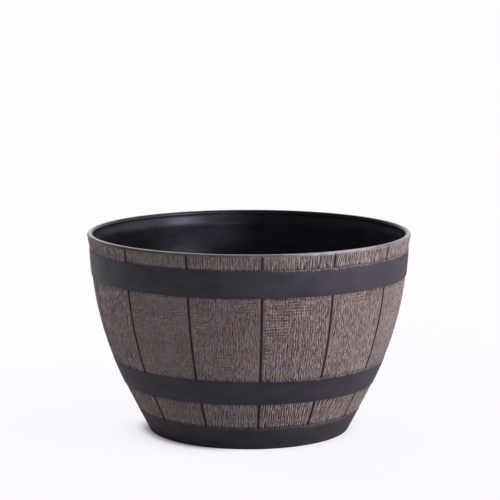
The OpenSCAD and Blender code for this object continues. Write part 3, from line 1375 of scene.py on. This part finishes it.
@dataclass
class Plug:
    """A rubber stopper: a round flange on the floor, a stem in the hole and a tab to pull.

    Hollow and dip are how deep the stem's foot and the flange's top are sunk in. Heel, brim and flange_round
    are the radii of the stem's inner foot and of the flange's lower and upper edge.
    """

    tub: Tub
    node: str
    gap: float = 0.05 * MM
    flange_t: float = 2.4 * MM
    flange_round: float = 0.9 * MM
    brim: float = 0.4 * MM
    heel: float = 0.6 * MM
    hollow: float = 0.8 * MM
    dip: float = 0.35 * MM
    tip: float = 1.6 * MM
    tab_l: float = 14 * MM
    tab_t: float = 3.2 * MM
    tab_h: float = 8 * MM
    tab_round: float = 0.7 * MM

    def build(self, rubber: Finish) -> Piece:
        """Build the plug in its hole, its tab in line with the middle of the floor.

        Args:
            rubber: the plug's material.

        Returns:
            The plug.
        """
        x, y = middle_of(self.node)
        seat, foot = self.tub.seat_z, self.tub.rib_z
        stem_r, flange_r = self.tub.drain_r - self.gap, self.tub.drain_r + self.tub.flange_w
        top, heel, brim, bend = seat + self.flange_t, self.heel, self.brim, self.flange_round
        outline = np.vstack([
            [(0, foot + self.hollow), (stem_r - 3.6 * MM, foot + self.hollow)],
            arc((stem_r - 2.4 * MM, foot + heel), heel, 180, 270, 4),
            [(stem_r - self.tip / 2, foot), (stem_r, foot + self.tip), (stem_r, seat)],
            run((stem_r, seat), (flange_r - brim, seat), 1.5 * MM),
            arc((flange_r - brim, seat + brim), brim, -90, 0, 4),
            arc((flange_r - bend, top - bend), bend, 0, 90, 7),
            [(flange_r - 2.4 * MM, top), (flange_r - 2.9 * MM, top - self.dip)],
            [(flange_r - 3.6 * MM, top - self.dip), (0, top - 0.1 * MM)],
        ])
        made = joined(self.node + "_rubber", [turned("stopper", outline, 96), self.tab(top)], sharp=50)
        made.data.transform(Matrix.Translation((x, y, 0)) @ Matrix.Rotation(math.atan2(y, x), 4, "Z"))
        return dress(made, rubber)

    def tab(self, base: float) -> Piece:
        """The pull tab: a plate with a half-round top and rounded rims.

        Its outline is a foot with a half circle on it. Each ring of the mesh is that outline, drawn in
        towards its middle by 1 - cos of the rim's angle at that depth.

        Args:
            base: height of the flange's top.

        Returns:
            The tab.
        """
        half, corner = self.tab_l / 2, self.tab_round
        middle = np.array([0, base + self.tab_h - half])
        outline = np.vstack([[(-half, base - MM), (half, base - MM)], arc(tuple(middle), half, 0, 180, 25)])
        turn = np.radians(np.linspace(0, 90, 5))
        depth = self.tab_t / 2 - corner + corner * np.sin(turn)
        shrink = 1 - corner * (1 - np.cos(turn)) / half
        depth, shrink = np.concatenate([depth[::-1], -depth]), np.concatenate([shrink[::-1], shrink])
        flat = middle + (outline - middle)[None] * shrink[:, None, None]
        side = np.broadcast_to(depth[:, None], flat.shape[:2])
        return make_piece("tab", *ring_stack(np.stack([flat[..., 0], side, flat[..., 1]], axis=-1)))


# The studio


@dataclass(frozen=True)
class Lamp:
    """A soft rectangular lamp that faces the planter.

    Azimuth is its direction in degrees, 0 at the front and 90 on the right. Elevation is in degrees above the
    level that it hangs round, at the given distance. A lamp for gloss shows in reflections alone, and any
    other one in none.
    """

    name: str
    azimuth: float
    elevation: float
    width: float
    height: float
    watts: float
    gloss: bool = False
    distance: float = 2.2
    level: float = 0.2

    def hang(self) -> None:
        """Put the lamp into the scene."""
        data = bpy.data.lights.new(self.name, "AREA")
        data.shape, data.energy = "RECTANGLE", self.watts
        data.size, data.size_y = self.width, self.height
        made = add_object(self.name, data)
        made.visible_diffuse, made.visible_glossy = not self.gloss, self.gloss
        side, up = math.radians(self.azimuth), math.radians(self.elevation)
        away = Vector((math.sin(side) * math.cos(up), -math.cos(side) * math.cos(up), math.sin(up)))
        made.location = Vector((0, 0, self.level)) + away * self.distance
        made.rotation_euler = away.to_track_quat("Z", "Y").to_euler()


@dataclass
class Studio:
    """Plain pale floor, white surroundings, soft lamps and the camera.

    Far and ring are ranges of the square of the distance from the middle, in square metres: over the first
    the floor goes over into the backdrop, and below the second, inside the foot ring, it is open to light.
    Wide and tight are the reaches of the planter's shadow on the floor. Lee is the direction turned from the
    lamps. Own is the share of its own white that the floor shows to the camera, and glow the strength of a
    little light that lifts its lit part to the backdrop's white.
    """

    lens: float = 144.0
    sensor: float = 36.0
    clip: Pair = (0.05, 100.0)
    distance: float = 2445.7 * MM
    tilt: float = 8.66
    aim: Triple = (1.25 * MM, 0.0, 219.3 * MM)
    floor_half: float = 30.0
    floor_tone: Colour = (0.66, 0.65, 0.66)
    shown_floor: Colour = srgb(252, 249, 254)
    shown_wall: Colour = srgb(255, 252, 255)
    shade: Colour = srgb(84, 74, 88)
    far: Pair = (0.1, 1.2)
    ring: Pair = (0.0125, 0.0130)
    wide: float = 75 * MM
    tight: float = 18 * MM
    lee: Triple = (-0.87, -0.50, 0.0)
    own: float = 0.80
    glow: float = 0.135
    ambient: float = 0.87
    shaft_z: float = 2.4
    shaft_angle: float = 8.4
    shaft_soft: float = 0.02
    shaft_blend: float = 0.5
    shaft_watts: float = 230.0
    lamps: tuple[Lamp, ...] = (
        Lamp("key", azimuth=78, elevation=3, width=1.5, height=0.4, watts=42),
        Lamp("left_back", azimuth=-128, elevation=12, width=0.8, height=0.4, watts=19),
        Lamp("sheen", azimuth=84, elevation=9, width=1.8, height=0.9, watts=7.5, gloss=True),
        Lamp("window", azimuth=53, elevation=15, width=0.8, height=0.24, watts=15, gloss=True),
        Lamp("glimmer", azimuth=23, elevation=7, width=0.9, height=0.15, watts=3.6, gloss=True),
        Lamp("overhead", azimuth=102, elevation=58, width=0.9, height=0.5, watts=5, gloss=True),
    )

    def shaft(self) -> None:
        """Light the planter's floor from straight above, in a cone that passes inside the lip."""
        data = bpy.data.lights.new("shaft", "SPOT")
        data.energy, data.shadow_soft_size = self.shaft_watts, self.shaft_soft
        data.spot_size, data.spot_blend = math.radians(self.shaft_angle), self.shaft_blend
        made = add_object("shaft", data)
        made.visible_glossy = False
        made.location = (0, 0, self.shaft_z)

    def camera(self) -> None:
        """Stand the camera in front of the planter, a little above the lip."""
        data = bpy.data.cameras.new("camera")
        data.lens, data.sensor_width = self.lens, self.sensor
        data.clip_start, data.clip_end = self.clip
        made = add_object("camera", data)
        tilt = math.radians(self.tilt)
        made.location = Vector(self.aim) + Vector((0, -math.cos(tilt), math.sin(tilt))) * self.distance
        made.rotation_euler = (math.pi / 2 - tilt, 0, 0)
        bpy.context.scene.camera = made

    def floor(self) -> None:
        """A wide level floor that goes over into the white backdrop and keeps the planter's shadow.

        To the camera it is mostly its own white, with a share of the light that falls on it; to every other
        ray it is a plain pale floor. To both it dims where the planter stands close over it, most on the lee
        side. It is clear from below, and to light inside the foot ring, so that the underside is seen.
        """
        half = self.floor_half
        points = np.array([(-half, -half, 0), (half, -half, 0), (half, half, 0), (-half, half, 0)])
        made = make_piece("studio_floor", points, [np.array([[0, 1, 2, 3]])])
        graph = Graph(bpy.data.materials.new("studio_floor"))
        place = graph.place()
        x, y, _ = graph.parts(place)
        square = x * x + y * y
        far, outside = square.rise(*self.far), square.rise(*self.ring)
        wide, tight = self.cover(graph, self.wide), self.cover(graph, self.tight)
        outwards = graph.link("VectorMath", {0: place}, operation="NORMALIZE")
        lee = graph.number("VectorMath", {0: outwards, 1: self.lee}, "Value", operation="DOT_PRODUCT")
        lee = lee.rise(0.55, 0.97)
        covered = wide * wide * (0.1 + lee * 1.2) + tight * (0.25 + lee * 1.4) + (1 - outside)

        plain = graph.link("BsdfDiffuse", {"Color": graph.mix(covered, self.floor_tone, self.shade)})
        white = graph.link("Emission", {"Color": graph.mix(covered, self.shown_floor, self.shade)})
        glow = graph.link("Emission", {"Color": (1, 0.98, 1, 1), "Strength": self.glow})
        backdrop = graph.link("Emission", {"Color": (*self.shown_wall, 1)})
        lit = graph.link("MixShader", {0: self.own, 1: plain, 2: white})
        lit = graph.link("AddShader", {0: lit, 1: glow})
        shown = graph.link("MixShader", {0: far, 1: lit, 2: backdrop})
        seen = graph.number("LightPath", output="Is Camera Ray")
        surface = graph.link("MixShader", {0: seen * outside, 1: plain, 2: shown})
        below = graph.number("NewGeometry", output="Backfacing")
        solid = (1 - below) * (seen + (1 - seen) * outside)
        clear = graph.link("BsdfTransparent")
        surface = graph.link("MixShader", {0: solid, 1: clear, 2: surface})
        dress(made, graph.closed(surface))

    @staticmethod
    def cover(graph: Graph, reach: float) -> Number:
        """Square of the share of the sky that is hidden by what lies within a reach."""
        hidden = 1 - graph.number("AmbientOcclusion", {"Distance": reach}, "AO", samples=16)
        return hidden * hidden

    def surroundings(self) -> None:
        """White to the camera and through glass, and a softer white as light.

        Gloss sees a room that is dim in front and on the left, and pale behind. Light and room dim overhead.
        """
        world = bpy.data.worlds.new("studio")
        bpy.context.scene.world = world
        graph = Graph(world)
        path, rays = graph.node("LightPath").outputs, ("Camera", "Glossy", "Transmission")
        camera, gloss, through = (Number(graph, path[f"Is {ray} Ray"]) for ray in rays)
        side, back, up = graph.parts(graph.link("TexCoord", output="Generated"))
        walls = 1 - up.rise(0.15, 0.75) * 0.75
        room = 0.12 + side.rise(-0.5, 0.1) * 0.08 + (back * 0.85 + side * 0.35).rise(0.1, 0.8) * 0.8
        light = (self.ambient + gloss * (room - self.ambient)) * walls
        seen = camera + through
        strength = seen + (1 - seen) * light
        graph.closed(graph.link("Background", {"Color": (*self.shown_wall, 1), "Strength": strength}))

    def build(self) -> None:
        """Set up the camera, the floor, the surroundings and the lamps."""
        self.camera()
        self.floor()
        self.surroundings()
        self.shaft()
        for lamp in self.lamps:
            lamp.hang()
        bpy.context.scene.view_settings.view_transform = "Standard"


def main() -> None:
    """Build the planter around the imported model, and the studio round the planter."""
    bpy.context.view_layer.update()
    low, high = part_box(SHELL_NODE)
    bands = Bands(height=high.z)
    wall = Wall(rim_r=high.x, bands=bands)
    hoop_resin = Charcoal("hoop_resin", tips=True).material()
    base_resin = Charcoal("base_resin", tips=True, blur=3 * MM, cover=0.4).material()
    # Dark brown groove paint, made lighter than the paint itself: painted light in the grooves' shade.
    groove_paint_and_fill_light = Charcoal("groove_paint_and_fill_light", deep=srgb(58, 44, 46), light=srgb(76, 58, 60),
                            rough=0.8, shine=0.2).material()
    # The same charcoal resin as the hoops, made darker: painted shade for the inside, where little light
    # falls.
    shaded_inner_resin = Charcoal("shaded_inner_resin", deep=srgb(25, 22, 30), light=srgb(34, 31, 41),
                           tint=(0.80, 0.74, 1.0), rough=0.30, shine=0.36, streaks=0.06).material()

    tub = Tub(wall, bands)
    staves = Staves(wall, bands)
    moulded = tub.build(base_resin, groove_paint_and_fill_light, shaded_inner_resin)
    moulded.append(Hoop("hoop_upper", wall, bands, bands.upper_z, bands.upper_top).build(hoop_resin))
    lower = Hoop("hoop_lower", wall, bands, bands.lower_z, bands.lower_top, bare=1 * MM, seed=47)
    moulded.append(lower.build(hoop_resin))
    painted = staves.build(WoodTone().material())
    painted.append(Lip(wall, bands, staves).build(LipPaint().material()))
    for pieces, slot in ((moulded, "resin"), (painted, "wood_tone")):
        for piece in pieces:
            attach(piece, BODY)
            LOG.info("%s: %d faces", piece.name, len(piece.data.polygons))
    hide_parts(SHELL_NODE)

    rubber = Rubber().material()
    for node, body in zip(PLUG_NODES, PLUG_BODIES):
        plug = Plug(tub, node).build(rubber)
        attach(plug, body)
        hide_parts(node)
        LOG.info("%s: %d faces", plug.name, len(plug.data.polygons))

    Studio().build()


if __name__ == "__main__":
    logging.basicConfig(level=logging.INFO, format="%(name)s: %(message)s")
    main()
